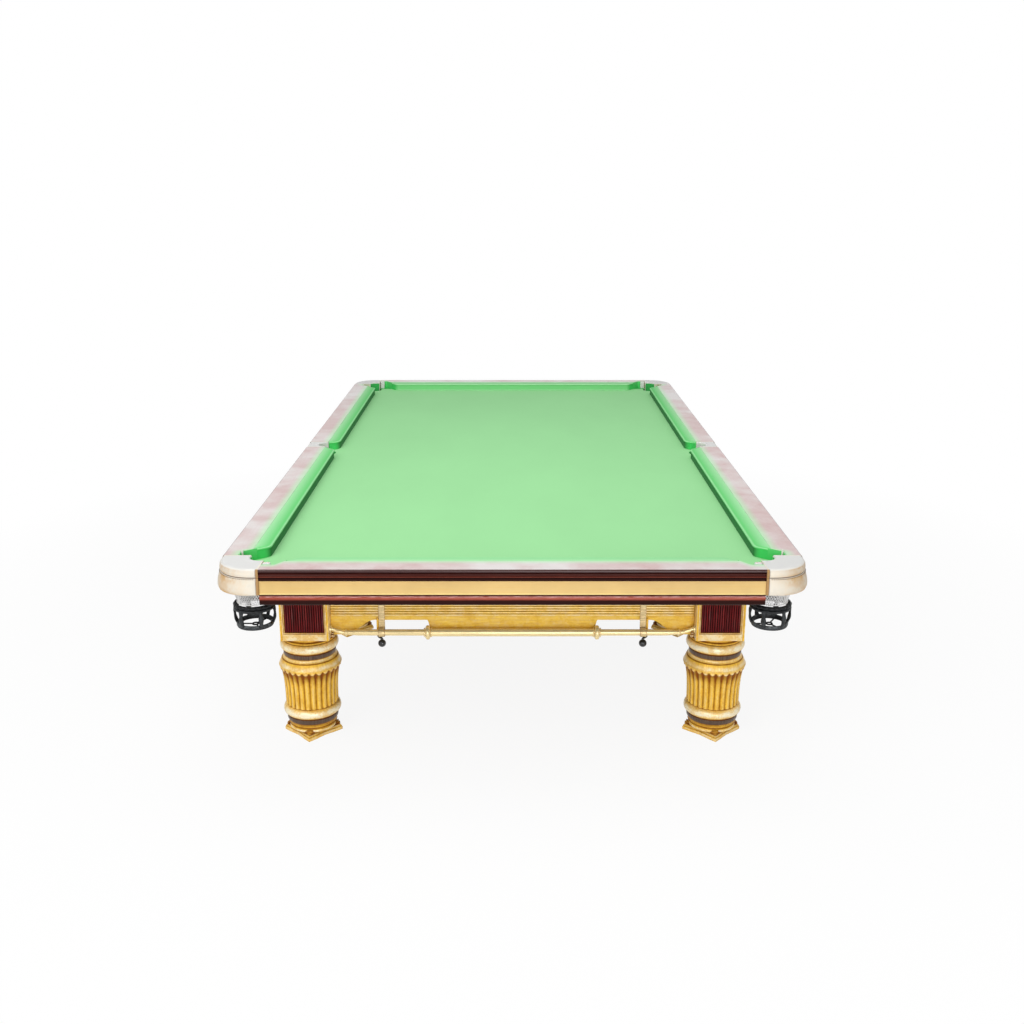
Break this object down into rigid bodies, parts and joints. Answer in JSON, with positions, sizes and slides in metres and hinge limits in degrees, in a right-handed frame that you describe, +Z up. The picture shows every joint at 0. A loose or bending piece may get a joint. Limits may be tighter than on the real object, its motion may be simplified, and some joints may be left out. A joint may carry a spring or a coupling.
{
  "type": "snooker table",
  "caption": "Full-size snooker table with a cloth-covered slate bed, cushioned rails, leather-lined net pockets and turned, fluted legs on levelling feet.",
  "frame": {"origin": "on the floor under the middle of the bed", "axes": "+X across the table to the right, +Y along it away from the viewer, +Z up"},
  "size_m": [2.11, 3.8888, 0.86],
  "materials": {
    "rail_lacquer": "pale rose gloss lacquer on the rail tops",
    "cushion_cloth": "green baize over the cushion rubber",
    "bed_cloth": "green napped baize",
    "slate": "honed slate",
    "frame_timber": "plain timber",
    "gold_lacquer": "gold lacquer on carved wood",
    "gold_foot": "gold paint on a cast foot",
    "cream_leather": "cream leather",
    "black_basket": "black moulded basket",
    "polished_brass": "polished brass",
    "black_hook": "black paint",
    "mahogany": "dark red-brown gloss lacquer on the mouldings",
    "gold_band": "pale gold lacquer on the fascia",
    "reeded_red": "dark red lacquer on the leg panels",
    "net_cord": "pale net cord"
  },
  "bodies": {
    "table": {"bed_cloth": "bed_cloth", "cross_beam_1": "frame_timber", "cross_beam_2": "frame_timber", "cross_beam_3": "frame_timber", "cross_beam_4": "frame_timber", "cushion_front": "cushion_cloth", "cushion_left_front": "cushion_cloth", "cushion_left_rear": "cushion_cloth", "cushion_rail_front": "rail_lacquer", "cushion_rail_left_front": "rail_lacquer", "cushion_rail_left_rear": "rail_lacquer", "cushion_rail_rear": "rail_lacquer", "cushion_rail_right_front": "rail_lacquer", "cushion_rail_right_rear": "rail_lacquer", "cushion_rear": "cushion_cloth", "cushion_right_front": "cushion_cloth", "cushion_right_rear": "cushion_cloth", "end_apron_front": "gold_lacquer", "end_apron_rear": "gold_lacquer", "leg_front_left": "gold_lacquer", "leg_front_right": "gold_lacquer", "leg_mid_front_left": "gold_lacquer", "leg_mid_front_right": "gold_lacquer", "leg_mid_rear_left": "gold_lacquer", "leg_mid_rear_right": "gold_lacquer", "leg_rear_left": "gold_lacquer", "leg_rear_right": "gold_lacquer", "pocket_leather_front_left": "cream_leather", "pocket_leather_front_right": "cream_leather", "pocket_leather_middle_left": "cream_leather", "pocket_leather_middle_right": "cream_leather", "pocket_leather_rear_left": "cream_leather", "pocket_leather_rear_right": "cream_leather", "pocket_net_front_left": "black_basket", "pocket_net_front_right": "black_basket", "pocket_net_middle_left": "black_basket", "pocket_net_middle_right": "black_basket", "pocket_net_rear_left": "black_basket", "pocket_net_rear_right": "black_basket", "rest_hook_front_left": "black_hook", "rest_hook_front_right": "black_hook", "rest_hook_rear_left": "black_hook", "rest_hook_rear_right": "black_hook", "side_beam_left": "gold_lacquer", "side_beam_right": "gold_lacquer", "slate_1": "slate", "slate_2": "slate", "slate_3": "slate", "slate_4": "slate", "slate_5": "slate", "tie_rail_front": "polished_brass", "tie_rail_rear": "polished_brass"},
    "foot_front_left": {"levelling_foot_front_left": "gold_foot"},
    "foot_front_right": {"levelling_foot_front_right": "gold_foot"},
    "foot_mid_front_left": {"levelling_foot_mid_front_left": "gold_foot"},
    "foot_mid_front_right": {"levelling_foot_mid_front_right": "gold_foot"},
    "foot_mid_rear_left": {"levelling_foot_mid_rear_left": "gold_foot"},
    "foot_mid_rear_right": {"levelling_foot_mid_rear_right": "gold_foot"},
    "foot_rear_left": {"levelling_foot_rear_left": "gold_foot"},
    "foot_rear_right": {"levelling_foot_rear_right": "gold_foot"}
  },
  "joints": [
    {"name": "level_front_left", "type": "slide", "parent": "table", "child": "foot_front_left", "axis": [0, 0, -1], "range_m": [0, 0.02]},
    {"name": "level_front_right", "type": "slide", "parent": "table", "child": "foot_front_right", "axis": [0, 0, -1], "range_m": [0, 0.02]},
    {"name": "level_mid_front_left", "type": "slide", "parent": "table", "child": "foot_mid_front_left", "axis": [0, 0, -1], "range_m": [0, 0.02]},
    {"name": "level_mid_front_right", "type": "slide", "parent": "table", "child": "foot_mid_front_right", "axis": [0, 0, -1], "range_m": [0, 0.02]},
    {"name": "level_mid_rear_left", "type": "slide", "parent": "table", "child": "foot_mid_rear_left", "axis": [0, 0, -1], "range_m": [0, 0.02]},
    {"name": "level_mid_rear_right", "type": "slide", "parent": "table", "child": "foot_mid_rear_right", "axis": [0, 0, -1], "range_m": [0, 0.02]},
    {"name": "level_rear_left", "type": "slide", "parent": "table", "child": "foot_rear_left", "axis": [0, 0, -1], "range_m": [0, 0.02]},
    {"name": "level_rear_right", "type": "slide", "parent": "table", "child": "foot_rear_right", "axis": [0, 0, -1], "range_m": [0, 0.02]}
  ]
}
